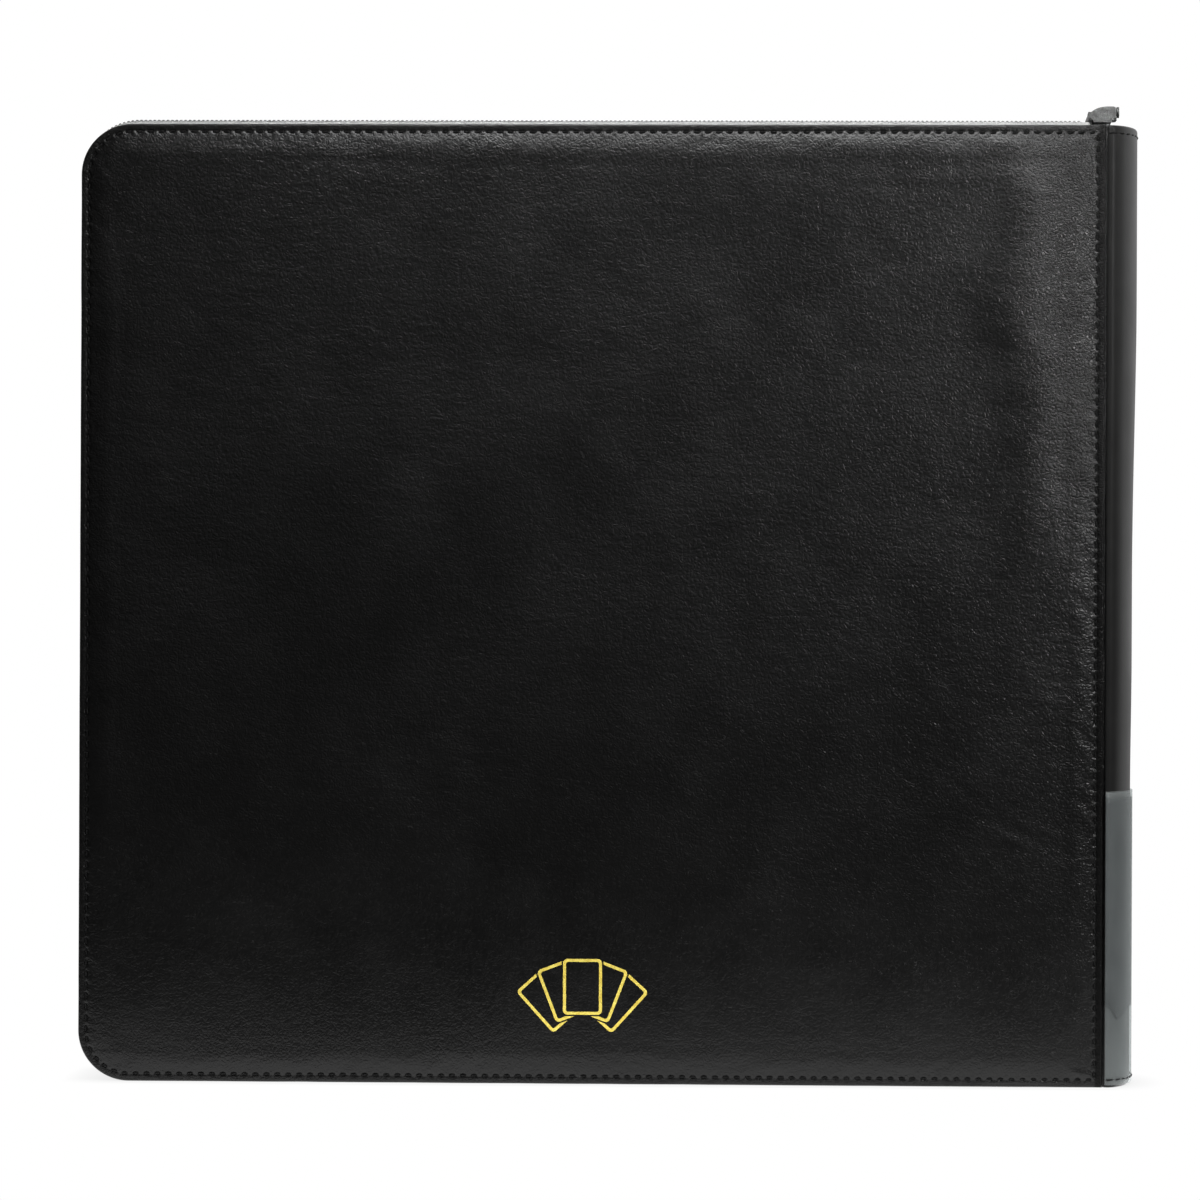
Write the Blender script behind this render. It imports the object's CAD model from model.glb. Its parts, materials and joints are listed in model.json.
import json
import math

import bmesh
import bpy
import numpy as np
from mathutils import Matrix, Vector

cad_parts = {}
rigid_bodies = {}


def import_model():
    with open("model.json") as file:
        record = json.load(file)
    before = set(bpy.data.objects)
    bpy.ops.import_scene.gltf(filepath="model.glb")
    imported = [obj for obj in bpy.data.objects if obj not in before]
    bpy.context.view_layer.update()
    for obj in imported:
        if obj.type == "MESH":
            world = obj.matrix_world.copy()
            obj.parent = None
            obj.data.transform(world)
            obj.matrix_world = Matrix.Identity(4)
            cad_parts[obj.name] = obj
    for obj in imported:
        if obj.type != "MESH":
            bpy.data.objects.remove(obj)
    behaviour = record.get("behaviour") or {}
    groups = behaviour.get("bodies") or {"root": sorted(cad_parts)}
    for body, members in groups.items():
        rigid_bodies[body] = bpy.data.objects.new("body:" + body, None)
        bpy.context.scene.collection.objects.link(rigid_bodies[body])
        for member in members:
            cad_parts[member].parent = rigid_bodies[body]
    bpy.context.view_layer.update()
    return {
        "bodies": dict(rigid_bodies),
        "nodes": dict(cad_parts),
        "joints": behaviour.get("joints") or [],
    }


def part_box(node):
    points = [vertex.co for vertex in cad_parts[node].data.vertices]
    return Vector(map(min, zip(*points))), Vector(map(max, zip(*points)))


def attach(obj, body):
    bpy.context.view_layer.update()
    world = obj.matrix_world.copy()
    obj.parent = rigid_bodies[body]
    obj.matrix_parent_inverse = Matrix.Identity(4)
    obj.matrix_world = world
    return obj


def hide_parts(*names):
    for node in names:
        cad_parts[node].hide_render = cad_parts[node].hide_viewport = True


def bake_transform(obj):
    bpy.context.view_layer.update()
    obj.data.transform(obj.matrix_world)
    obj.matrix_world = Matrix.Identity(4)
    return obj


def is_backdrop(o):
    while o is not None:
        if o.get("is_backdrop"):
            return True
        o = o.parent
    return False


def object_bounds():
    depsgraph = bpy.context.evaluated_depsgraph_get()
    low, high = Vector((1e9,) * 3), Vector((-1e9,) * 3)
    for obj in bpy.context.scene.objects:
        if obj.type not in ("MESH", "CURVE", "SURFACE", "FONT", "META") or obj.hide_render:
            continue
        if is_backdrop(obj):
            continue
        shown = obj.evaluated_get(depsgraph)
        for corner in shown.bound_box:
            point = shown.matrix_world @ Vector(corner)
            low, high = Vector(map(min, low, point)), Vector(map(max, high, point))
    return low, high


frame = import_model()

# Looks for the trading card binder. Shapes are worked out in millimetres, in the CAD's own frame:
# +X from the fore-edge to the spine, -Y out through the back cover, +Z up.

MM = 0.001


def box_mm(node):
    """Lowest and highest corner of a CAD node, in millimetres."""
    low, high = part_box(node)
    return np.array(low) / MM, np.array(high) / MM


def smooth(t):
    """A smooth step from 0 to 1 as t goes from 0 to 1."""
    t = np.clip(t, 0, 1)
    return t * t * (3 - 2 * t)


def noise(u, v, seed):
    """Smooth noise from -1 to 1, with one lattice cell per unit."""
    table = np.random.default_rng(seed).uniform(-1, 1, (128, 128))
    u, v = np.broadcast_arrays(np.asarray(u, float), np.asarray(v, float))
    i, j = np.floor(u).astype(int), np.floor(v).astype(int)
    f, g = u - i, v - j
    f, g = f * f * (3 - 2 * f), g * g * (3 - 2 * g)
    i0, i1, j0, j1 = i % 128, (i + 1) % 128, j % 128, (j + 1) % 128
    low = table[i0, j0] * (1 - f) + table[i1, j0] * f
    high = table[i0, j1] * (1 - f) + table[i1, j1] * f
    return low * (1 - g) + high * g


# Mesh helpers -----------------------------------------------------------------------------------


def mesh_object(name, points, faces, finish, flat=False):
    """A mesh piece from points in millimetres. Faces may be arrays of quads or lists of corners."""
    mesh = bpy.data.meshes.new(name)
    rows = [f.tolist() if isinstance(f, np.ndarray) else f for f in faces]
    mesh.from_pydata((np.asarray(points, float) * MM).tolist(), [], [f for row in rows for f in row])
    work = bmesh.new()
    work.from_mesh(mesh)
    bmesh.ops.recalc_face_normals(work, faces=work.faces)
    work.to_mesh(mesh)
    work.free()
    mesh.polygons.foreach_set("use_smooth", np.full(len(mesh.polygons), not flat))
    mesh.materials.append(finish)
    mesh.update()
    made = bpy.data.objects.new(name, mesh)
    bpy.context.scene.collection.objects.link(made)
    return made


def strip_quads(rows, columns, first=0, around=False):
    """Quads over a grid of rows x columns points. With around set, the last column joins the first."""
    index = first + np.arange(rows * columns).reshape(rows, columns)
    if around:
        index = np.hstack([index, index[:, :1]])
    a, b = index[:-1, :-1], index[1:, :-1]
    c, d = index[1:, 1:], index[:-1, 1:]
    return np.stack([a, b, c, d], -1).reshape(-1, 4)


def closing_quads(rows, columns):
    """Quads that join the last row of a grid to its first row."""
    start = (rows - 1) * columns
    i = np.arange(columns - 1)
    return np.stack([start + i, i, i + 1, start + i + 1], -1)


def end_faces(rows, columns):
    """The two faces that close the ends of a tube whose rows run round it."""
    return [[r * columns for r in range(rows)], [r * columns + columns - 1 for r in range(rows)]]


def sheet_faces(rows, columns):
    """Faces of a thin sheet: one grid of points, the same grid again behind it, and the edge between."""
    count = rows * columns
    index = np.arange(count).reshape(rows, columns)
    loop = np.concatenate([index[0], index[1:, -1], index[-1, -2::-1], index[-2:0:-1, 0]])
    ahead = np.roll(loop, -1)
    edge = np.stack([loop, ahead, ahead + count, loop + count], -1)
    return [strip_quads(rows, columns), strip_quads(rows, columns, count), edge]


def place(piece, body, nodes=()):
    """Makes a piece ride on a body, take a slot's finish, and stand for the CAD nodes given."""
    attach(piece, body)
    if nodes:
        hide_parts(*nodes)


# Finishes ---------------------------------------------------------------------------------------


class Nodes:
    """Short calls for adding nodes to a node tree."""

    def __init__(self, tree):
        self.tree = tree

    def node(self, kind, settings=None, **inputs):
        """A new node. An input is given by its name, or by its number after an underscore."""
        made = self.tree.nodes.new(kind)
        for key, value in (settings or {}).items():
            setattr(made, key, value)
        for key, value in inputs.items():
            self.put(made.inputs[int(key[1:]) if key[0] == "_" else key.replace("_", " ")], value)
        return made

    def put(self, socket, value):
        if isinstance(value, bpy.types.NodeSocket):
            self.tree.links.new(value, socket)
        else:
            socket.default_value = value

    def remap(self, value, low, high, to_low=0.0, to_high=1.0):
        made = self.node("ShaderNodeMapRange", _0=value, _1=low, _2=high, _3=to_low, _4=to_high)
        return made.outputs[0]

    def math(self, kind, a, b):
        return self.node("ShaderNodeMath", {"operation": kind}, _0=a, _1=b).outputs[0]

    def sum(self, a, b):
        return self.math("ADD", a, b)

    def times(self, a, b):
        return self.math("MULTIPLY", a, b)

    def axis(self, name, vector):
        return self.node("ShaderNodeSeparateXYZ", _0=vector).outputs[name]


class Finish(Nodes):
    """A node material on one Principled shader, with short calls for its textures."""

    def __init__(self, name, **inputs):
        self.material = bpy.data.materials.new(name)
        self.material.use_nodes = True
        super().__init__(self.material.node_tree)
        self.shader = self.tree.nodes["Principled BSDF"]
        self.where = self.node("ShaderNodeTexCoord").outputs["Object"]
        self.set(**inputs)

    def set(self, **inputs):
        for key, value in inputs.items():
            self.put(self.shader.inputs[key.replace("_", " ")], value)

    def noise(self, scale, detail=2.0, vector=None, rough=0.5):
        made = self.node(
            "ShaderNodeTexNoise",
            Vector=vector or self.where,
            Scale=scale,
            Detail=detail,
            Roughness=rough,
        )
        return made.outputs[0]

    def cells(self, scale, vector=None):
        """Distance from the edge of each of many irregular cells."""
        settings = {"feature": "DISTANCE_TO_EDGE"}
        made = self.node("ShaderNodeTexVoronoi", settings, Vector=vector or self.where, Scale=scale)
        return made.outputs["Distance"]

    def waves(self, direction, scale):
        settings = {"bands_direction": direction}
        made = self.node("ShaderNodeTexWave", settings, Vector=self.where, Scale=scale, Distortion=0.6)
        return made.outputs[1]

    def stretch(self, scale, turn=(0, 0, 0), vector=None):
        made = self.node("ShaderNodeMapping", Vector=vector or self.where, Scale=scale, Rotation=turn)
        return made.outputs["Vector"]

    def mix(self, share, a, b):
        made = self.node("ShaderNodeMix", {"data_type": "RGBA"}, _0=share, _6=a, _7=b)
        return made.outputs[2]

    def bump(self, height, distance):
        """Adds a bump over those already there. Distance is in metres."""
        made = self.node("ShaderNodeBump", Height=height, Distance=distance, Strength=1.0)
        last = self.shader.inputs["Normal"]
        if last.is_linked:
            self.tree.links.new(last.links[0].from_socket, made.inputs["Normal"])
        self.tree.links.new(made.outputs["Normal"], last)


def grey(value, tint=(1, 1, 1)):
    return (value * tint[0], value * tint[1], value * tint[2], 1)


def grained_leather():
    """Near-black imitation leather: fine pebbles broken by wrinkles, with patchy sheen."""
    f = Finish("grained_leather")
    warp = f.node(
        "ShaderNodeVectorMath",
        {"operation": "MULTIPLY_ADD"},
        _0=f.node("ShaderNodeTexNoise", Vector=f.where, Scale=260.0, Detail=2.0).outputs[1],
        _1=(0.0022, 0.0022, 0.0022),
        _2=f.where,
    ).outputs[0]
    pebbles = f.remap(f.cells(820.0, warp), 0.0, 0.28)
    lumps = f.remap(f.cells(330.0, warp), 0.0, 0.35)
    wrinkles = f.noise(1.0, 4.0, f.stretch((260, 260, 620), (0, 0.5, 0), warp), 0.6)
    folds = f.noise(1.0, 3.0, f.stretch((110, 110, 330), (0, -0.35, 0), warp), 0.65)
    patch = f.remap(f.noise(14.0, 3.0), 0.35, 0.65)
    grain = f.sum(f.times(pebbles, 0.55), f.times(lumps, 0.35))
    grain = f.sum(grain, f.times(wrinkles, 0.9))
    f.bump(f.noise(3200.0, 2.0), 0.000015)
    f.bump(grain, 0.00010)
    f.bump(f.times(folds, f.times(patch, 0.8)), 0.00036)
    # Where the cover flexes, beside the hinge, the skin has broken into a net of fine creases.
    along, up = f.axis("X", f.where), f.axis("Z", f.where)
    net = f.remap(f.cells(1.0, f.stretch((780, 780, 1250), (0, 0.3, 0), warp)), 0.0, 0.16)
    worn = f.times(f.remap(along, 0.128, 0.150), f.remap(up, 0.17, 0.26))
    f.bump(f.times(net, worn), 0.00008)
    # The sewn strip beside the hinge lies low and stays dull.
    panel_shine = f.remap(along, 0.1627, 0.1636, 0.2, 0.06)
    fold_shine = f.remap(along, 0.1650, 0.1656, 0.06, 0.2)
    rough = f.remap(f.noise(60.0, 3.0), 0.3, 0.7, 0.29, 0.37)
    f.set(
        Base_Color=f.mix(pebbles, grey(0.0024), grey(0.004, (1, 0.98, 0.95))),
        Roughness=f.sum(rough, f.times(patch, 0.05)),
        Specular_IOR_Level=f.math("MAXIMUM", panel_shine, fold_shine),
    )
    return f.material


def spine_leather():
    """Smooth satin imitation leather with a whisper of grain, dull in the folds and polished on the bow."""
    f = Finish("spine_leather")
    f.bump(f.noise(1500.0, 3.0), 0.00004)
    f.bump(f.noise(90.0, 2.0), 0.0001)
    f.set(
        Base_Color=f.mix(f.noise(200.0, 2.0), grey(0.007), grey(0.011, (1, 1, 0.97))),
        Roughness=f.remap(f.noise(40.0, 3.0), 0.3, 0.7, 0.38, 0.46),
        Specular_IOR_Level=f.remap(f.axis("X", f.where), 0.1692, 0.1724, 0.04, 0.48),
    )
    return f.material


def cloth(name, dark, light, pitch):
    """A plain weave: two sets of threads, pitch metres apart, that pass over and under."""
    f = Finish(name, Roughness=0.9)
    weave = f.times(f.waves("X", 0.31 / pitch), f.waves("Z", 0.31 / pitch))
    fuzz = f.noise(2600.0, 3.0)
    f.bump(f.sum(weave, f.times(fuzz, 0.5)), pitch * 0.35)
    f.set(
        Base_Color=f.mix(f.sum(weave, f.times(fuzz, 0.4)), dark, light),
        Sheen_Weight=0.15,
    )
    return f.material


def zip_cloth():
    """Light woven tape with darker flecks, like pressed polyester."""
    f = Finish("zip_tape", Roughness=0.75)
    fleck = f.remap(f.noise(1700.0, 3.0, rough=0.7), 0.4, 0.62)
    lengthways = f.sum(f.waves("X", 420.0), f.waves("Z", 420.0))
    weave = f.times(lengthways, f.waves("Y", 420.0))
    f.bump(f.sum(weave, fleck), 0.00012)
    cloth_shade = f.sum(f.times(fleck, 0.6), f.times(weave, 0.25))
    f.set(Base_Color=f.mix(cloth_shade, grey(0.12), grey(0.26, (0.97, 1, 0.98))), Sheen_Weight=0.1)
    return f.material


def thread():
    """Black bonded thread with a tight twist."""
    f = Finish("thread", Roughness=0.5)
    f.bump(f.waves("DIAGONAL", 1500.0), 0.00012)
    f.set(Base_Color=f.mix(f.noise(900.0), grey(0.0008), grey(0.004)), Specular_IOR_Level=0.12)
    return f.material


def foil():
    """Stamped gold foil: it follows the leather's grain a little, and wears to a duller gold."""
    f = Finish("gold_foil", Metallic=0.45)
    wear = f.remap(f.noise(420.0, 4.0, rough=0.7), 0.35, 0.7)
    f.bump(f.remap(f.cells(820.0), 0.0, 0.28), 0.00008)
    f.bump(f.noise(1800.0, 2.0), 0.00003)
    f.set(
        Base_Color=f.mix(wear, (0.60, 0.45, 0.06, 1), (0.82, 0.70, 0.15, 1)),
        Roughness=f.remap(wear, 0.0, 1.0, 0.62, 0.42),
    )
    return f.material


def metal(name, dark, light, rough):
    """Plated die casting with a mottled, slightly rubbed surface."""
    f = Finish(name, Metallic=0.85)
    mottle = f.remap(f.noise(900.0, 4.0, rough=0.65), 0.35, 0.7)
    f.bump(f.noise(2500.0, 3.0), 0.00005)
    f.bump(mottle, 0.00006)
    f.set(
        Base_Color=f.mix(mottle, grey(dark), grey(light, (0.97, 1, 0.98))),
        Roughness=f.remap(mottle, 0.0, 1.0, rough + 0.08, rough - 0.06),
    )
    return f.material


def clear_film():
    """Clear, faintly hazy and glossy film: mostly see-through."""
    f = Finish("clear_film", Base_Color=grey(0.4, (0.95, 1, 1)), Roughness=0.38, Specular_IOR_Level=0.3)
    f.bump(f.noise(35.0, 2.0), 0.0006)
    f.bump(f.noise(900.0, 2.0), 0.00002)
    clear = f.node("ShaderNodeBsdfTransparent", Color=(0.96, 0.98, 0.98, 1))
    haze = f.remap(f.noise(120.0, 3.0), 0.3, 0.7, 0.045, 0.07)
    facing = f.node("ShaderNodeLayerWeight", Blend=0.5).outputs["Facing"]
    share = f.sum(haze, f.times(f.math("POWER", facing, 4.0), 0.35))
    both = f.node("ShaderNodeMixShader", _0=share, _1=clear.outputs[0], _2=f.shader.outputs[0])
    f.tree.links.new(both.outputs[0], f.tree.nodes["Material Output"].inputs["Surface"])
    return f.material


def paper(name, low, high, tint=(1, 1, 1)):
    """Uncoated card with fine fibres."""
    f = Finish(name, Roughness=0.7, Specular_IOR_Level=0.35)
    fibre = f.noise(1.0, 3.0, f.stretch((1200, 1200, 500)), 0.7)
    f.bump(fibre, 0.00003)
    f.set(Base_Color=f.mix(fibre, grey(low, tint), grey(high, tint)))
    return f.material


def board():
    """Rigid grey board made from mixed fibre."""
    f = Finish("greyboard", Roughness=0.9)
    fleck = f.noise(1600.0, 4.0, rough=0.75)
    f.bump(fleck, 0.0001)
    f.set(Base_Color=f.mix(f.remap(fleck, 0.3, 0.7), (0.26, 0.245, 0.22, 1), (0.44, 0.42, 0.38, 1)))
    return f.material


def sponge():
    """Open-celled foam."""
    f = Finish("foam", Roughness=1.0)
    pore = f.remap(f.cells(1400.0), 0.0, 0.2)
    f.bump(pore, 0.0003)
    f.set(Base_Color=f.mix(pore, grey(0.02), grey(0.09)))
    return f.material


def plastic(name, low, high, rough, tint=(1, 1, 1)):
    """Moulded or sheet plastic with a fine satin texture."""
    f = Finish(name)
    f.bump(f.noise(1700.0, 3.0), 0.00004)
    f.set(
        Base_Color=f.mix(f.noise(300.0, 3.0), grey(low, tint), grey(high, tint)),
        Roughness=f.remap(f.noise(70.0, 3.0), 0.3, 0.7, rough - 0.05, rough + 0.05),
    )
    return f.material


def pocket_film():
    """Clear pocket film over the leaf's black sheet, with a faint orange-peel texture."""
    f = Finish("pocket_film", Base_Color=grey(0.02), Roughness=0.18, Coat_Weight=0.3, Coat_Roughness=0.08)
    f.bump(f.noise(60.0, 3.0), 0.0012)
    f.bump(f.noise(700.0, 2.0), 0.00003)
    f.set(Base_Color=f.mix(f.noise(25.0, 3.0), grey(0.022), grey(0.05, (0.97, 0.99, 1))))
    return f.material


LEATHER = grained_leather()
SPINE = spine_leather()
THREAD = thread()
FOIL = foil()
TAPE = zip_cloth()
TEETH = plastic("zip_teeth", 0.05, 0.14, 0.42, (0.98, 1, 1))
METAL = metal("zip_metal", 0.032, 0.08, 0.42)
FILM = clear_film()
LABEL = paper("label_paper", 0.009, 0.012, (0.90, 0.99, 1.06))
BACKING = plastic("pocket_backing", 0.017, 0.021, 0.6, (0.96, 1, 0.98))
BOARD = board()
FOAM = sponge()
LINING = cloth("lining", grey(0.008), grey(0.035, (0.98, 0.98, 1.02)), 0.0005)
CHANNEL = plastic("binding_plastic", 0.012, 0.02, 0.5)
SHEET = plastic("pocket_sheet", 0.012, 0.022, 0.45)
POCKET = pocket_film()

for node, finish in (
    ("back_cover_board", BOARD),
    ("front_cover_board", BOARD),
    ("spine_board", BOARD),
    ("back_cover_foam", FOAM),
    ("front_cover_foam", FOAM),
    ("back_cover_lining", LINING),
    ("front_cover_lining", LINING),
    ("spine_lining", LINING),
    ("back_cover_emblem", FOIL),
    ("zip_bottom_stop", METAL),
    ("slider_body", METAL),
    ("slider_crown", METAL),
    ("pull_loop", METAL),
    ("pull_tab", METAL),
    ("binding_channel", CHANNEL),
):
    mesh = frame["nodes"][node].data
    mesh.materials.clear()
    mesh.materials.append(finish)


def soften(node, width):
    """Rounds a CAD node's sharp edges by width millimetres."""
    piece = frame["nodes"][node]
    joined = piece.modifiers.new("weld", "WELD")
    joined.merge_threshold = 0.002 * MM
    rounded = piece.modifiers.new("round", "BEVEL")
    rounded.width = width * MM
    rounded.segments = 3
    rounded.limit_method = "ANGLE"
    rounded.angle_limit = math.radians(35)
    piece.data.polygons.foreach_set("use_smooth", np.ones(len(piece.data.polygons), bool))
    normals = piece.modifiers.new("normals", "WEIGHTED_NORMAL")
    normals.keep_sharp = False


for node, width in (
    ("slider_body", 0.18),
    ("slider_crown", 0.35),
    ("pull_loop", 0.15),
    ("pull_tab", 0.25),
    ("zip_bottom_stop", 0.2),
):
    soften(node, width)

# Places taken from the CAD ----------------------------------------------------------------------

LEATHER_LOW, LEATHER_HIGH = box_mm("back_cover_leather")
FORE, HINGE_EDGE, COVER_TOP = LEATHER_LOW[0], LEATHER_HIGH[0], LEATHER_HIGH[2]
PANEL, RIM_INNER = -LEATHER_LOW[1], -LEATHER_HIGH[1]  # off the middle plane
BORDER = -box_mm("back_cover_thread")[1][1]
SEWING = 2.6  # the stitch line's inset from the cover's edge
STITCH_PITCH = 3.65
CORNER = 17.0
HINGE_X = frame["joints"][0]["pos_m"][0] / MM
EMBLEM_LOW, EMBLEM_HIGH = box_mm("back_cover_emblem")

# Covers -----------------------------------------------------------------------------------------

SIDE_RUN = HINGE_EDGE - SEWING - FORE - CORNER  # sewing along the top or bottom edge
CORNER_RUN = math.pi / 2 * (CORNER - SEWING)
FORE_RUN = COVER_TOP - 2 * CORNER
LONG_RUN = 2 * SIDE_RUN + 2 * CORNER_RUN + FORE_RUN  # hinge, bottom, fore-edge, top, hinge
HINGE_RUN = COVER_TOP - 2 * SEWING
LONG_STITCHES = round(LONG_RUN / STITCH_PITCH)
HINGE_STITCHES = round(HINGE_RUN / STITCH_PITCH)

INNER_STEP = 1.5
# Steps of the inner grid along the top, up the fore-edge, and round a corner.
ALONG = round((HINGE_EDGE - FORE - 2 * CORNER) / INNER_STEP)
UP = round(FORE_RUN / INNER_STEP)
ROUND = 16


def run_points(inset, per):
    """Points round a cover at an inset, per times denser than the inner grid, with each point's place
    along the sewing in stitches. They start at the lower hinge corner and go along the bottom edge."""
    r = CORNER - inset
    centre = FORE + CORNER
    a = np.arange(ALONG * per) / (ALONG * per)
    u = np.arange(UP * per) / (UP * per)
    k = np.arange(ROUND * per) / (ROUND * per)
    turn = k * math.pi / 2
    edge = HINGE_EDGE - inset
    long_step, hinge_step = LONG_RUN / LONG_STITCHES, HINGE_RUN / HINGE_STITCHES
    bottom_x = edge + (centre - edge) * a
    fore_z = CORNER + FORE_RUN * u
    top_x = centre + (edge - centre) * a
    hinge_z = COVER_TOP - inset - (COVER_TOP - 2 * inset) * u
    first = SIDE_RUN + CORNER_RUN
    second = first + FORE_RUN + CORNER_RUN
    parts = (
        (bottom_x, np.full_like(a, inset), (HINGE_EDGE - SEWING - bottom_x) / long_step),
        (
            centre - r * np.sin(turn),
            CORNER - r * np.cos(turn),
            (SIDE_RUN + turn * (CORNER - SEWING)) / long_step,
        ),
        (np.full_like(u, FORE + inset), fore_z, (first + fore_z - CORNER) / long_step),
        (
            centre - r * np.cos(turn),
            COVER_TOP - CORNER + r * np.sin(turn),
            (first + FORE_RUN + turn * (CORNER - SEWING)) / long_step,
        ),
        (top_x, np.full_like(a, COVER_TOP - inset), (second + top_x - centre) / long_step),
        (np.full_like(u, edge), hinge_z, (COVER_TOP - SEWING - hinge_z) / hinge_step + 1000.0),
    )
    return [np.concatenate([part[i] for part in parts]) for i in range(3)]


# Long soft creases in the padding: middle x and z, angle from level in degrees, length, depth, width.
CREASES = (
    (128.0, 92.0, -38.0, 46.0, 0.10, 1.5),
    (140.0, 84.0, -22.0, 40.0, 0.12, 1.4),
    (146.0, 78.0, -8.0, 34.0, 0.08, 1.3),
    (118.0, 306.0, 4.0, 70.0, 0.10, 1.5),
    (96.0, 300.0, -5.0, 80.0, 0.08, 1.6),
    (-40.0, 240.0, 52.0, 120.0, 0.05, 2.4),
    (-110.0, 120.0, 61.0, 150.0, 0.05, 2.6),
    (40.0, 170.0, 40.0, 140.0, 0.05, 2.4),
    (90.0, 150.0, -55.0, 90.0, 0.04, 2.2),
    (-70.0, 60.0, 35.0, 110.0, 0.04, 2.2),
    (10.0, 90.0, -30.0, 90.0, 0.04, 2.2),
    (-130.0, 250.0, -48.0, 90.0, 0.05, 2.4),
    (150.0, 200.0, 72.0, 60.0, 0.06, 1.8),
    (60.0, 262.0, 18.0, 100.0, 0.05, 2.0),
)


def relief(x, z, inset, phase, seed):
    """Height of a cover's leather above its sewn border: the stitch line, then the soft padding."""
    between = np.cos(2 * math.pi * phase)  # 1 between two stitches, -1 under a stitch
    sewn = np.exp(-(((inset - SEWING) / 0.55) ** 2))
    gather = 0.32 * between * np.exp(-(((inset - SEWING) / 1.3) ** 2))
    start = SEWING - 0.3 + 0.2 * noise(phase * 0.31, 0.5, seed) - gather
    share = np.clip((inset - start) / 9.0, 0, 1)
    # Beside the hinge the padding slopes off over a wider band, most of all in the upper half.
    full = smooth((COVER_TOP - 8 - z) / 16) * (0.15 + 0.85 * smooth((z - 115) / 130))
    across = HINGE_EDGE - x + 5.0 * noise(z / 29, x / 60, seed + 9) + 1.5 * noise(z / 9, x / 14, seed + 10)
    slope_off = 1 - 0.8 * full * (1 - np.clip(across / 28, 0, 1)) ** 1.7
    height = (PANEL - BORDER) * (1 - (1 - share) ** 1.9) * slope_off - sewn * (0.26 - 0.2 * between)
    height += 1.1 * full * np.exp(-(((across - 26) / 10.5) ** 2))
    height += 0.22 * np.clip(between, 0, 1) * np.exp(-(((inset - SEWING - 0.25) / 0.4) ** 2))
    near = np.exp(-(((inset - 6.0) / 3.2) ** 2))
    height += 0.13 * near * noise(phase * 0.83 + 0.22 * inset, inset * 0.11, seed + 1)
    height += 0.12 * near * noise(phase * 0.27 - 0.12 * inset, inset * 0.16, seed + 2)
    # A shallow valley where the padding starts, then the padding's own slow waves.
    valley = 12.8 + 1.8 * noise(x / 47, z / 43, seed + 7)
    height -= 0.13 * np.exp(-(((inset - valley) / 2.3) ** 2)) * (0.6 + 0.4 * noise(x / 37, z / 33, seed + 8))
    inner = smooth((inset - 4) / 16)
    height += inner * (
        0.22 * noise(x / 74, z / 61, seed + 3)
        + 0.11 * noise(x / 31 + z / 90, z / 27, seed + 4)
        + 0.04 * noise(x / 11, z / 13, seed + 5)
    )
    for along, up, angle, length, depth, width in CREASES:
        c, s = math.cos(math.radians(angle)), math.sin(math.radians(angle))
        run = (x - along) * c + (z - up) * s
        off = (z - up) * c - (x - along) * s + 1.6 * noise(run / 17, 0.3, seed + 6)
        fade = np.exp(-((run / (length / 2)) ** 4))
        crease = np.exp(-((off / width) ** 2)) - 0.45 * np.exp(-(((np.abs(off) - 2 * width) / width) ** 2))
        height -= inner * depth * fade * crease
    return height


def puckers(x, z):
    """A ridge pinched up between the two seams, at each hinge corner."""
    lift = np.zeros_like(x)
    for corner, sign in ((COVER_TOP, -1), (0.0, 1)):
        across, up = HINGE_EDGE - 7.5 - x, sign * (z - corner) - 4.6
        run = across * 0.94 + up * 0.34
        off = up * 0.94 - across * 0.34
        lift += 0.42 * np.exp(-((run / 3.4) ** 2) - (off / 1.0) ** 2)
    return lift


# Rings from inside the cover round its rim to the border: inset from the edge, height off the middle plane.
RIM_RINGS = (
    (CORNER - 0.5, PANEL - 1.15),
    (6.6, PANEL - 1.15),
    (6.4, BORDER - 1.05),
    (1.0, BORDER - 1.05),
    (1.0, RIM_INNER),
    (0.35, RIM_INNER),
    (0.0, RIM_INNER + 0.4),
    (0.0, BORDER - 1.7),
    (0.0, BORDER - 0.6),
    (0.06, BORDER - 0.3),
    (0.22, BORDER - 0.12),
    (0.45, BORDER - 0.02),
    (0.7, BORDER - 0.005),
    (1.0, BORDER),
)
# Insets of the rings over the sewing, where they lie closest, and of the wider ones inside them.
FINE_RINGS = (1.3, 1.7, 2.0, 2.25, 2.45, 2.6, 2.75, 2.95, 3.2, 3.5, 3.9, 4.4, 5.0, 5.7, 6.5, 7.4, 8.4)
COARSE_RINGS = (9.6, 11.0, 12.5, 14.0, 15.5)


def emblem_bed(x, z):
    """How far a point lies on the flat bed under the emblem, from 0 to 1."""
    gap, fade = 2.5, 4.0
    share = smooth((x - EMBLEM_LOW[0] + gap + fade) / fade)
    share = share * smooth((EMBLEM_HIGH[0] + gap + fade - x) / fade)
    share = share * smooth((z - EMBLEM_LOW[2] + gap + fade) / fade)
    return share * smooth((EMBLEM_HIGH[2] + gap + fade - z) / fade)


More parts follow.
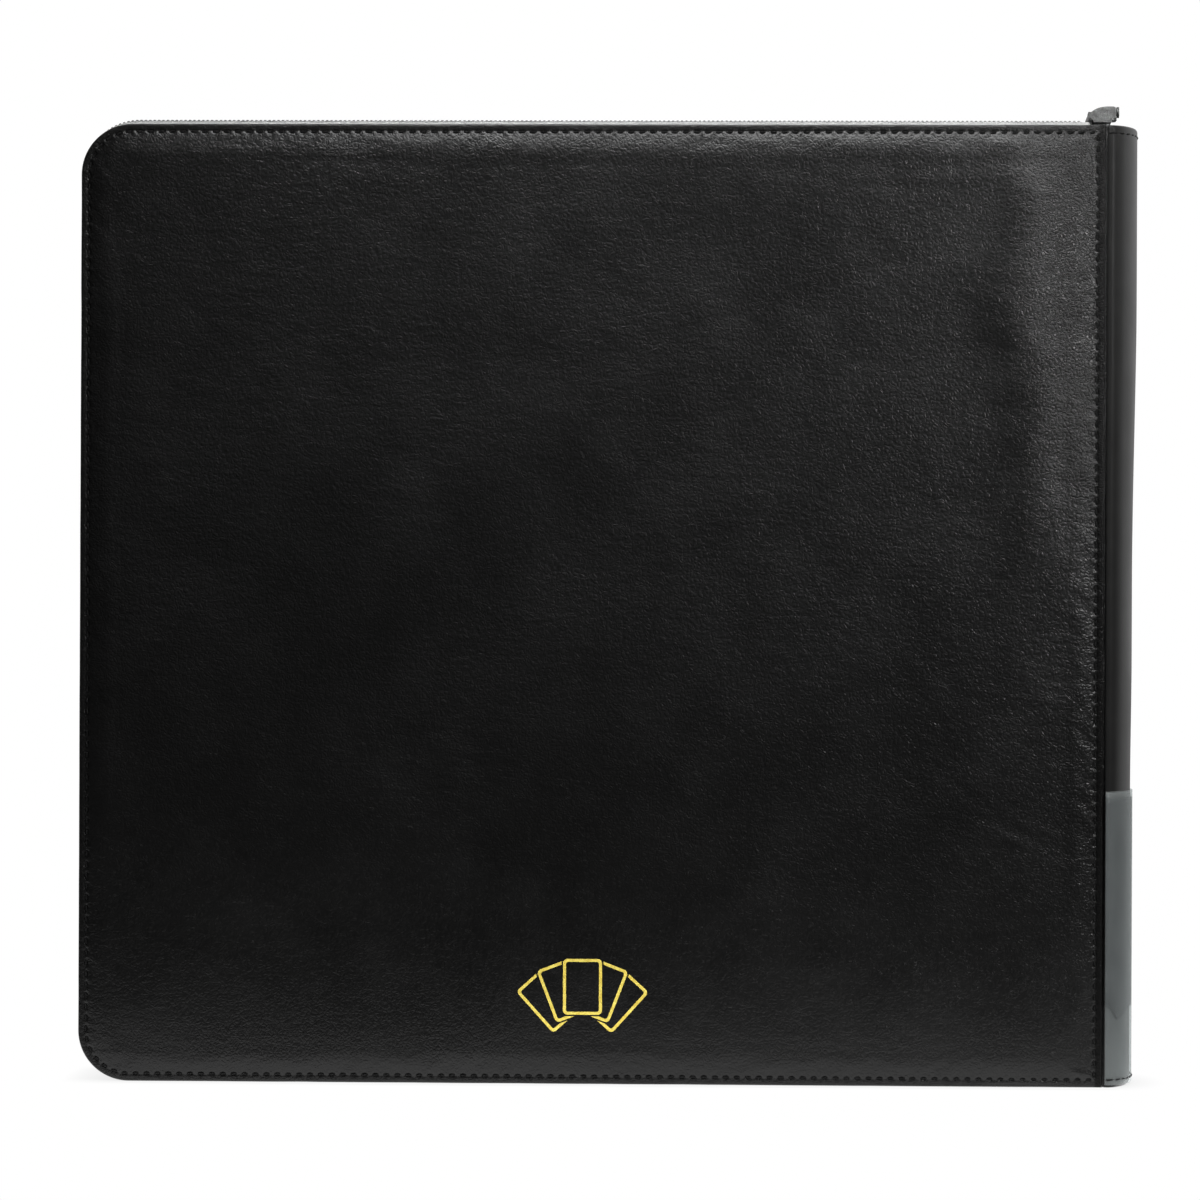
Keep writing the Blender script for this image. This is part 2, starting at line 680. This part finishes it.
def cover(name, side, seed):
    """The leather of one cover: a turned-in rim, a sewn border and a padded panel, as one closed skin."""
    x_all, y_all, z_all, faces = [], [], [], []
    count = 0

    def add_ring(inset, per, height=None):
        nonlocal count
        x, z, phase = run_points(inset, per)
        if height is None:
            height = BORDER + relief(x, z, inset, phase, seed) + puckers(x, z)
        else:
            height = np.full_like(x, height)
            x = x + 0.05 * noise(phase * 0.4, height / 3, seed + 8)
            z = z + 0.05 * noise(phase * 0.4, height / 3, seed + 9)
        x_all.append(x)
        y_all.append(height)
        z_all.append(z)
        count += len(x)
        return len(x)

    for inset, height in RIM_RINGS:
        wide = add_ring(inset, 2, height)
    for inset in FINE_RINGS:
        add_ring(inset, 2)
    fine_rows = len(RIM_RINGS) + len(FINE_RINGS)
    faces.append(strip_quads(fine_rows, wide, 0, True))
    faces.append([list(range(wide))])
    # Past the sewing the rings have half as many points, so five-sided faces join the two kinds.
    last = (fine_rows - 1) * wide
    coarse = count
    for inset in COARSE_RINGS:
        narrow = add_ring(inset, 1)
    i = np.arange(narrow)
    faces.append(
        np.stack(
            [
                last + 2 * i,
                coarse + i,
                coarse + (i + 1) % narrow,
                last + (2 * i + 2) % wide,
                last + 2 * i + 1,
            ],
            -1,
        )
    )
    faces.append(strip_quads(len(COARSE_RINGS), narrow, coarse, True))
    # The inner grid. The corners' arcs close to one point each where the grid starts.
    first = count
    gx = np.linspace(FORE + CORNER, HINGE_EDGE - CORNER, ALONG + 1)
    gz = np.linspace(CORNER, COVER_TOP - CORNER, UP + 1)
    x, z = [g.ravel() for g in np.meshgrid(gx, gz, indexing="ij")]
    inset = np.minimum.reduce([x - FORE, HINGE_EDGE - x, z, COVER_TOP - z])
    x_all.append(x)
    z_all.append(z)
    y_all.append(BORDER + relief(x, z, inset, x / 40, seed))
    faces.append(strip_quads(ALONG + 1, UP + 1, first))
    index = first + np.arange((ALONG + 1) * (UP + 1)).reshape(ALONG + 1, UP + 1)
    rim_index = np.concatenate(
        [
            index[:0:-1, 0],
            np.full(ROUND, index[0, 0]),
            index[0, :-1],
            np.full(ROUND, index[0, -1]),
            index[:-1, -1],
            index[-1, :0:-1],
        ]
    )
    outer = coarse + narrow * (len(COARSE_RINGS) - 1) + np.arange(narrow)
    for k in range(narrow):
        n = (k + 1) % narrow
        corners = [int(outer[k]), int(rim_index[k]), int(rim_index[n]), int(outer[n])]
        faces.append([list(dict.fromkeys(corners))])
    x, y, z = np.concatenate(x_all), np.concatenate(y_all), np.concatenate(z_all)
    if side < 0:
        flat = np.where(y > PANEL - 1.0, PANEL - 0.05, y)
        y = y + (flat - y) * emblem_bed(x, z)
    return mesh_object(name, np.column_stack([x, side * y, z]), faces, LEATHER)


place(cover("back_leather", -1, 11), "back_cover", ("back_cover_leather",))
place(cover("front_leather", 1, 41), "front_cover", ("front_cover_leather",))


# Sewing -----------------------------------------------------------------------------------------


def stitches(name, centres, tangents, normals, length, radius, sink, seed):
    """One mesh of separate stitches. Each one bows out of the leather and dips into it at both ends."""
    draw = np.random.default_rng(seed)
    stations, sides = 9, 7
    u = np.linspace(-1, 1, stations)
    bow = np.sqrt(np.clip(1 - u**2, 0, 1))
    thick = radius * (0.45 + 0.55 * bow)
    lean = draw.normal(0, 0.05, len(centres)) + 0.07
    across = np.cross(normals, tangents)
    tangents = tangents * np.cos(lean)[:, None] + across * np.sin(lean)[:, None]
    across = np.cross(normals, tangents)
    rise = (bow - 1) * sink + draw.normal(0, 0.02, len(centres))[:, None]
    spine = (
        centres[:, None]
        + tangents[:, None] * (u * length / 2)[None, :, None]
        + normals[:, None] * rise[..., None]
    )
    turn = np.arange(sides) * 2 * math.pi / sides
    ring = (
        normals[:, None, None] * (np.cos(turn)[None, None, :, None])
        + across[:, None, None] * (np.sin(turn)[None, None, :, None])
    ) * thick[None, :, None, None]
    points = (spine[:, :, None] + ring).reshape(-1, 3)
    one = strip_quads(stations, sides, 0, True)
    block = stations * sides
    starts = np.arange(len(centres)) * block
    quads = (starts[:, None, None] + one[None]).reshape(-1, 4)
    caps = starts[:, None] + np.arange(sides)
    ends = starts[:, None] + block - 1 - np.arange(sides)
    return mesh_object(name, points, [quads, caps, ends], THREAD)


def cover_stitches(name, side, seed):
    """The stitches round one cover: one run along three edges, and one beside the hinge."""
    low, high = SEWING, COVER_TOP - SEWING
    centre = FORE + CORNER
    s = (np.arange(LONG_STITCHES) + 0.5) * LONG_RUN / LONG_STITCHES
    r = CORNER - SEWING
    first, second = SIDE_RUN + CORNER_RUN, SIDE_RUN + CORNER_RUN + FORE_RUN
    third = second + CORNER_RUN
    turn_1 = np.clip((s - SIDE_RUN) / r, 0, math.pi / 2)
    turn_2 = np.clip((s - second) / r, 0, math.pi / 2)
    heading = turn_1 + turn_2
    x = np.where(s < SIDE_RUN, HINGE_EDGE - SEWING - s, centre - r * np.sin(turn_1))
    z = np.where(s < SIDE_RUN, low, CORNER - r * np.cos(turn_1))
    z = np.where(s > first, CORNER + s - first, z)
    x = np.where(s > second, centre - r * np.cos(turn_2), x)
    z = np.where(s > second, COVER_TOP - CORNER + r * np.sin(turn_2), z)
    x = np.where(s > third, centre + s - third, x)
    z = np.where(s > third, high, z)
    tangent_x, tangent_z = -np.cos(heading), np.sin(heading)
    h = (np.arange(HINGE_STITCHES) + 0.5) * HINGE_RUN / HINGE_STITCHES
    x = np.append(x, np.full_like(h, HINGE_EDGE - SEWING))
    z = np.append(z, high - h)
    tangents = np.column_stack(
        [
            np.append(tangent_x, np.zeros_like(h)),
            np.zeros(len(x)),
            np.append(tangent_z, -np.ones_like(h)),
        ]
    )
    normals = np.tile([0.0, side, 0.0], (len(x), 1))
    centres = np.column_stack([x, np.full_like(x, side * (BORDER - 0.02)), z])
    return stitches(name, centres, tangents, normals, 2.35, 0.36, 0.42, seed)


place(cover_stitches("back_stitches", -1, 5), "back_cover", ("back_cover_thread",))
place(cover_stitches("front_stitches", 1, 6), "front_cover", ("front_cover_thread",))

# Spine ------------------------------------------------------------------------------------------

SKIN_DEPTH = 23.0
SKIN_THICK = 1.5
FILM_OUTSET = 0.80
POCKET_TOP = box_mm("label_pocket")[1][2]
LABEL_LOW, LABEL_HIGH = box_mm("label_card")


def bulge(z):
    """How far the spine's skin stands out from the hinge line at a height. It is fuller at the top."""
    return 10.2 + 0.38 * smooth((z - 98) / 45) + 1.2 * smooth((z - 170) / 90)


def spine_point(angle, z, outset=0.0, pinch=0.0):
    """A point on the bowed spine. Angle runs from -90 degrees at the back cover to 90 at the front."""
    across = (bulge(z) + outset) * np.cos(angle)
    depth = (SKIN_DEPTH + outset) * np.sin(angle)
    depth = depth - pinch * np.sign(depth) * np.exp(-((across / 1.2) ** 2))
    return np.stack(np.broadcast_arrays(HINGE_X + across, depth, z), -1)


START = math.radians(88.2)
ARC = np.linspace(-START, START, 73)
# A closed skin: up the outside, over the folded top edge, down the inside, round the folded bottom edge.
outside = np.linspace(1.0, COVER_TOP - 1.0, 81)
profile = (
    [(0.0, h) for h in outside]
    + [(-0.12, COVER_TOP - 0.5), (-0.42, COVER_TOP - 0.12), (-0.8, COVER_TOP)]
    + [(-1.2, COVER_TOP - 0.05), (-1.45, COVER_TOP - 0.4), (-SKIN_THICK, COVER_TOP - 1.0)]
    + [(-SKIN_THICK, h) for h in (COVER_TOP - 8, COVER_TOP / 2, 8.0)]
    + [(-SKIN_THICK, 1.0), (-1.45, 0.4), (-1.2, 0.05), (-0.8, 0.0), (-0.42, 0.12), (-0.12, 0.5)]
)
inset, height = np.array(profile).T
sag = np.where(
    inset == 0,
    -0.22 * np.exp(-(((height - SEWING) / 0.55) ** 2))
    - 0.22 * np.exp(-(((height - COVER_TOP + SEWING) / 0.55) ** 2)),
    0.0,
)
grid_angle, grid_row = np.meshgrid(ARC, np.arange(len(profile)))
skin = spine_point(
    grid_angle,
    height[grid_row],
    inset[grid_row]
    + sag[grid_row]
    + np.where(inset[grid_row] == 0, 0.07 * noise(grid_angle * 3, height[grid_row] / 45, 71), 0),
    0.9,
)
spine_skin = mesh_object(
    "spine_skin",
    skin.reshape(-1, 3),
    [
        strip_quads(len(profile), len(ARC)),
        closing_quads(len(profile), len(ARC)),
        end_faces(len(profile), len(ARC)),
    ],
    SPINE,
)
place(spine_skin, "spine", ("spine_leather",))

# The spine's two rows of sewing. The lower one goes through the pocket's film.
angles = np.linspace(-START, START, 2001)
spots, ways, outs = [], [], []
for row in (SEWING, COVER_TOP - SEWING):
    over = FILM_OUTSET if row < COVER_TOP / 2 else 0.0
    line = spine_point(angles, row, over, 0.9)
    length = np.append(0, np.cumsum(np.linalg.norm(np.diff(line, axis=0), axis=1)))
    number = int(length[-1] / STITCH_PITCH)
    at = (np.arange(number) + 0.5) * length[-1] / number
    spot = np.column_stack([np.interp(at, length, line[:, i]) for i in range(3)])
    ahead = np.column_stack([np.interp(at + 0.2, length, line[:, i]) for i in range(3)])
    way = ahead - spot
    way /= np.linalg.norm(way, axis=1)[:, None] + 1e-9
    spots.append(spot)
    ways.append(way)
    outs.append(np.column_stack([way[:, 1], -way[:, 0], way[:, 2]]))
centres, tangents, normals = (np.concatenate(part) for part in (spots, ways, outs))
sewing = stitches("spine_stitches", centres, tangents, normals, 2.7, 0.3, 0.3, 9)
place(sewing, "spine", ("spine_thread",))


def fold(name, side):
    """The leather that folds in between a cover and the spine. It bends as the cover opens."""
    across = np.linspace(-1, 1, 13)
    up = np.linspace(0.1, COVER_TOP - 0.2, 65)
    u, z = np.meshgrid(across, up)
    reach, sink, thick = 1.05, 0.95, 0.7
    x = HINGE_X + u * reach
    outer = 22.35 - sink * (1 - u**2) + 0.06 * noise(z / 9, u * 0.7, 80 + side)
    inner = outer - thick
    points = np.vstack([np.stack([x, side * layer, z], -1).reshape(-1, 3) for layer in (outer, inner)])
    piece = mesh_object(name, points, sheet_faces(len(up), len(across)), LEATHER)
    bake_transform(piece)


fold("back_fold", -1)
fold("front_fold", 1)

# Label pocket and label -------------------------------------------------------------------------


def shell(name, low, high, outset, thick, finish, edge=None, straight=False):
    """A thin shell round the spine between two heights. Edge gives its lower edge for each angle.
    A straight shell keeps the spine's lower outline all the way up."""
    rows, steps = 40, 73
    arc = np.linspace(-START + 0.01, START - 0.01, steps)
    bottom = np.full(steps, low) if edge is None else edge(arc)
    share = np.linspace(0, 1, rows)[:, None]
    z = bottom + (high - bottom) * share
    angle = np.broadcast_to(arc, z.shape)
    flat = np.zeros_like(z) if straight else z

    def layer(out):
        points = spine_point(angle, flat, out, 0.55)
        points[..., 2] = z
        return points.reshape(-1, 3)

    points = np.vstack([layer(outset), layer(outset - thick)])
    return mesh_object(name, points, sheet_faces(rows, steps), finish)


backing = shell("pocket_backing", 0.9, POCKET_TOP - 0.4, 0.10, 0.08, BACKING)
place(backing, "spine")
film = shell("pocket_film", 0.8, POCKET_TOP, FILM_OUTSET, 0.12, FILM)
place(film, "spine", ("label_pocket",))


def label_edge(angle):
    """The label's lower edge: level in the middle, with a short point near each side."""
    half = 23.35
    off = np.abs(np.sin(angle)) * half
    middle, tip, shoulder = 26.3, LABEL_LOW[2], 27.5
    return np.interp(off, [0, 13.0, 21.3, half], [middle, middle, tip, shoulder])


label = shell("label", LABEL_LOW[2], LABEL_HIGH[2], 0.64, 0.16, LABEL, label_edge, straight=True)
place(label, "label_card", ("label_card",))

# Zip --------------------------------------------------------------------------------------------

CHAIN_LOW, CHAIN_HIGH = box_mm("back_zip_chain")
SLIDER_LEFT = box_mm("slider_body")[0][0]
TAPE_END = box_mm("back_zip_tape")[1][0]


def u_run(left, bottom, top, radius, end, step):
    """Points along the bottom, the fore-edge and the top: x, z, and the outward direction."""
    centre = left + radius
    flat = end - centre
    tall = top - bottom - 2 * radius
    n_flat, n_tall, n_turn = (max(2, round(v / step)) for v in (flat, tall, radius * math.pi / 2))
    a = np.arange(n_flat) / n_flat
    u = np.arange(n_tall) / n_tall
    t = np.arange(n_turn) / n_turn * math.pi / 2
    last = np.linspace(0, 1, n_flat + 1)
    x = np.concatenate(
        [
            end - flat * a,
            centre - radius * np.sin(t),
            np.full(n_tall, left),
            centre - radius * np.cos(t),
            centre + flat * last,
        ]
    )
    z = np.concatenate(
        [
            np.full(n_flat, bottom),
            bottom + radius - radius * np.cos(t),
            bottom + radius + tall * u,
            top - radius + radius * np.sin(t),
            np.full(n_flat + 1, top),
        ]
    )
    out_x = np.concatenate([np.zeros(n_flat), -np.sin(t), -np.ones(n_tall), -np.cos(t), np.zeros(n_flat + 1)])
    out_z = np.concatenate([-np.ones(n_flat), -np.cos(t), np.zeros(n_tall), np.sin(t), np.ones(n_flat + 1)])
    return x, z, out_x, out_z


def tape(name, side, seed):
    """One side's woven tape. It arches from under the cover's edge up to the teeth."""
    stations = (0.0, 0.06, 0.14, 0.24, 0.36, 0.5, 0.64, 0.78, 0.9, 1.0)
    thick, lip, under_teeth = 0.6, 1.2, 0.7  # lip: how far in from the cover's edge the tape starts
    sewn_at, teeth_at = RIM_INNER + 0.3, 3.0  # off the middle plane
    rows_out, rows_in = [], []
    for t in stations:
        arch = math.sin(t * math.pi / 2) ** 0.8
        left = FORE + lip + (CHAIN_LOW[0] + under_teeth - FORE - lip) * arch
        bottom = lip + (CHAIN_LOW[2] + under_teeth - lip) * arch
        top = COVER_TOP - lip + (CHAIN_HIGH[2] - under_teeth - COVER_TOP + lip) * arch
        y = sewn_at + (teeth_at - sewn_at) * t
        radius = CORNER - lip + 2.4 * arch
        x, z, out_x, out_z = u_run(left, bottom, top, radius, TAPE_END, 1.9)
        wave = 0.10 * noise(np.arange(len(x)) / 4.3, t * 3, seed)
        for rows, off in ((rows_out, wave), (rows_in, wave - thick)):
            rows.append(np.column_stack([x + out_x * off, np.full_like(x, side * y), z + out_z * off]))
    count = min(len(r) for r in rows_out)
    rows_out = [resample(r, count) for r in rows_out]
    rows_in = [resample(r, count) for r in rows_in]
    grid = np.array(rows_out + rows_in[::-1])
    rows = len(grid)
    faces = [strip_quads(rows, count), closing_quads(rows, count), end_faces(rows, count)]
    return mesh_object(name, grid.reshape(-1, 3), faces, TAPE)


def resample(line, count):
    """The same path as line, as count points spaced evenly along it."""
    length = np.append(0, np.cumsum(np.linalg.norm(np.diff(line, axis=0), axis=1)))
    at = np.linspace(0, length[-1], count)
    return np.column_stack([np.interp(at, length, line[:, i]) for i in range(3)])


place(tape("back_tape", -1, 21), "back_cover", ("back_zip_tape",))
place(tape("front_tape", 1, 22), "front_cover", ("front_zip_tape",))

TOOTH = 1.5
TOOTH_OUTLINE = np.array(
    # along the chain, then across it from the tape's side to the head
    [(-0.36, 3.0), (-0.36, 1.35), (-0.24, 0.75), (-0.40, 0.30), (-0.34, -0.10), (-0.14, -0.30)]
)


def teeth(name, side, offset, run):
    """One half's moulded teeth. Their heads reach past the middle plane, between the other half's."""
    x, z, out_x, out_z = run
    length = np.append(0, np.cumsum(np.hypot(np.diff(x), np.diff(z))))
    number = int((length[-1] - TOOTH) / TOOTH)
    at = (np.arange(number) + 0.25 + offset) * TOOTH
    px, pz = np.interp(at, length, x), np.interp(at, length, z)
    nx, nz = np.interp(at, length, out_x), np.interp(at, length, out_z)
    size = np.hypot(nx, nz)
    nx, nz = nx / size, nz / size
    tx, tz = -nz, nx
    outline = np.vstack([TOOTH_OUTLINE, TOOTH_OUTLINE[::-1] * (-1, 1)])
    waist = 1.4
    layers = ((0.0, 0.94), (-0.14, 1.0), (-1.2, 1.0), (-1.34, 0.94))  # height, and the outline's scale
    points = []
    for depth, spread in layers:
        along = outline[:, 0] * spread
        across = waist + (outline[:, 1] - waist) * spread
        points.append(
            np.stack(
                [
                    px[:, None] + tx[:, None] * along + nx[:, None] * depth,
                    np.broadcast_to(side * across, (number, len(along))),
                    pz[:, None] + tz[:, None] * along + nz[:, None] * depth,
                ],
                -1,
            )
        )
    points = np.stack(points, 1)
    n = len(outline)
    block = n * len(layers)
    starts = np.arange(number) * block
    one = strip_quads(len(layers), n, 0, True)
    quads = (starts[:, None, None] + one[None]).reshape(-1, 4)
    caps = starts[:, None] + np.arange(n)
    ends = starts[:, None] + block - 1 - np.arange(n)
    return mesh_object(name, points.reshape(-1, 3), [quads, caps, ends], TEETH, flat=True)


CHAIN_CORNER = 19.0
CHAIN_END = SLIDER_LEFT - 0.5
chain_run = u_run(CHAIN_LOW[0], CHAIN_LOW[2], CHAIN_HIGH[2], CHAIN_CORNER, CHAIN_END, 1.0)
place(teeth("back_teeth", -1, 0.0, chain_run), "back_cover", ("back_zip_chain",))
place(teeth("front_teeth", 1, 0.5, chain_run), "front_cover", ("front_zip_chain",))

# Leaves -----------------------------------------------------------------------------------------

LEAVES = [b for b in frame["bodies"] if b.startswith("page_leaf_")]


def leaf_mesh():
    """One leaf about its own middle plane: a black sheet with soft clear pockets on both faces."""
    low, high = box_mm(LEAVES[0])
    middle = (low[1] + high[1]) / 2
    pitch_x, pitch_z, wide, tall = 73.0, 97.5, 68.5, 94.0
    first_x, first_z = low[0] + 4.5 + pitch_x / 2, COVER_TOP / 2 - pitch_z
    corners = [(x, y, z) for x in (low[0], high[0]) for y in (-0.13, 0.13) for z in (low[2], high[2])]
    points = [np.array(corners, float)]
    faces = [[[0, 1, 3, 2], [4, 6, 7, 5], [0, 4, 5, 1], [2, 3, 7, 6], [0, 2, 6, 4], [1, 5, 7, 3]]]
    count = 8
    across, up = 9, 11
    for side in (-1, 1):
        for column in range(4):
            for row in range(3):
                u, v = np.meshgrid(np.linspace(-1, 1, across), np.linspace(-1, 1, up), indexing="ij")
                puff = (1 - u**6) * (1 - v**6)
                x = first_x + pitch_x * column + u * wide / 2
                z = first_z + pitch_z * row + v * tall / 2
                wobble = noise(x / 23 + row, z / 19 + 5 * side, 90 + column)
                y = side * (0.16 + puff * (0.15 + 0.07 * wobble))
                points.append(np.stack([x, y, z], -1).reshape(-1, 3))
                faces.append(strip_quads(across, up, count))
                count += across * up
    made = mesh_object("leaf", np.vstack(points), faces, SHEET)
    mesh = made.data
    mesh.materials.append(POCKET)
    on_pocket = np.arange(len(mesh.polygons)) >= 6  # the first six faces are the sheet's
    mesh.polygons.foreach_set("material_index", on_pocket.astype(int))
    mesh.polygons.foreach_set("use_smooth", on_pocket)
    bpy.data.objects.remove(made)
    return mesh


sheet = leaf_mesh()
for body in LEAVES:
    low, high = box_mm(body)
    leaf = bpy.data.objects.new(body + "_sheet", sheet)
    bpy.context.scene.collection.objects.link(leaf)
    leaf.location = (0, (low[1] + high[1]) / 2 * MM, 0)
    place(leaf, body, (body,))

# Stage ------------------------------------------------------------------------------------------

scene = bpy.context.scene
scene.view_settings.view_transform = "Standard"

# The camera sees plain white. The binder sees a studio that is bright behind it and dim behind the camera.
world = bpy.data.worlds.new("studio")
scene.world = world
world.use_nodes = True
world.node_tree.nodes.clear()
sky = Nodes(world.node_tree)
depth = sky.axis("Y", sky.node("ShaderNodeTexCoord").outputs["Generated"])
seen = sky.node("ShaderNodeBackground", Color=(1, 1, 1, 1))
lit = sky.node("ShaderNodeBackground", Strength=sky.remap(depth, -0.3, 0.35, 0.012, 1.0))
seen_share = sky.node("ShaderNodeLightPath").outputs["Is Camera Ray"]
both = sky.node("ShaderNodeMixShader", _0=seen_share, _1=lit.outputs[0], _2=seen.outputs[0])
sky.node("ShaderNodeOutputWorld", Surface=both.outputs[0])


def lamp(name, at, aim, size, power):
    data = bpy.data.lights.new(name, "AREA")
    data.shape = "RECTANGLE"
    data.size, data.size_y = size
    data.energy = power
    made = bpy.data.objects.new(name, data)
    scene.collection.objects.link(made)
    made.location = at
    made.rotation_euler = (Vector(at) - Vector(aim)).to_track_quat("Z", "Y").to_euler()
    made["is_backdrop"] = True


lamp("over", (0.08, -0.24, 0.56), (0.08, -0.02, 0.2), (0.44, 0.14), 4.3)
lamp("side", (0.42, -0.47, 0.38), (0.15, 0, 0.27), (0.10, 0.10), 3.1)
lamp("front", (0.35, -1.6, 0.9), (0, 0, 0.2), (0.8, 0.5), 1.2)
lamp("top", (0.0, 0.3, 1.6), (0, 0, 0.2), (1.6, 0.6), 2.5)


def white_floor():
    """The camera sees a white floor with a soft contact shadow. The binder sees a pool of light in
    front of it, and a dim even glow behind it."""
    material = bpy.data.materials.new("floor")
    material.use_nodes = True
    f = Nodes(material.node_tree)
    contact = f.node("ShaderNodeAmbientOcclusion", Distance=0.012).outputs["AO"]
    seen = f.node("ShaderNodeEmission", Strength=f.remap(contact, 0.0, 1.0, 0.8, 1.0))
    spot = f.node("ShaderNodeNewGeometry").outputs["Position"]
    oval = f.node("ShaderNodeVectorMath", {"operation": "MULTIPLY"}, _0=spot, _1=(0.15, 1.0, 0.0))
    away = f.node("ShaderNodeVectorMath", {"operation": "LENGTH"}, _0=oval.outputs[0]).outputs["Value"]
    settings = {"interpolation_type": "SMOOTHERSTEP"}
    pool = f.node("ShaderNodeMapRange", settings, _0=away, _1=0.03, _2=0.16, _3=2.3, _4=0.03)
    behind = f.remap(f.axis("Y", spot), -0.01, 0.02)
    glow = f.node("ShaderNodeMix", _0=behind, _2=pool.outputs[0], _3=0.35)
    lit = f.node("ShaderNodeEmission", Strength=glow.outputs[0])
    seen_share = f.node("ShaderNodeLightPath").outputs["Is Camera Ray"]
    both = f.node("ShaderNodeMixShader", _0=seen_share, _1=lit.outputs[0], _2=seen.outputs[0])
    f.put(f.tree.nodes["Material Output"].inputs["Surface"], both.outputs[0])
    return material


REACH = 6  # half the floor's width, in metres
corners = [(-REACH, -REACH, 0), (REACH, -REACH, 0), (REACH, REACH, 0), (-REACH, REACH, 0)]
floor_mesh = bpy.data.meshes.new("floor")
floor_mesh.from_pydata(corners, [], [(0, 1, 2, 3)])
floor_mesh.materials.append(white_floor())
floor = bpy.data.objects.new("floor", floor_mesh)
scene.collection.objects.link(floor)
floor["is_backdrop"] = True

# Camera: nearly square on to the back cover.
CAMERA_AWAY = 1.6
camera_data = bpy.data.cameras.new("camera")
camera_data.lens = 144.1
camera_data.sensor_width = 36
camera = bpy.data.objects.new("camera", camera_data)
scene.collection.objects.link(camera)
scene.camera = camera
target = Vector((-0.0019, -PANEL * MM, 0.1614))
turn = math.radians(1.7)
back = Vector((math.sin(turn), -math.cos(turn), 0))
camera.location = target + back * CAMERA_AWAY
aim = (-back).to_track_quat("-Z", "Y").to_matrix().to_4x4()
roll = Matrix.Rotation(math.radians(0.24), 4, "Z")
camera.matrix_world = Matrix.Translation(camera.location) @ aim @ roll

low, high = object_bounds()
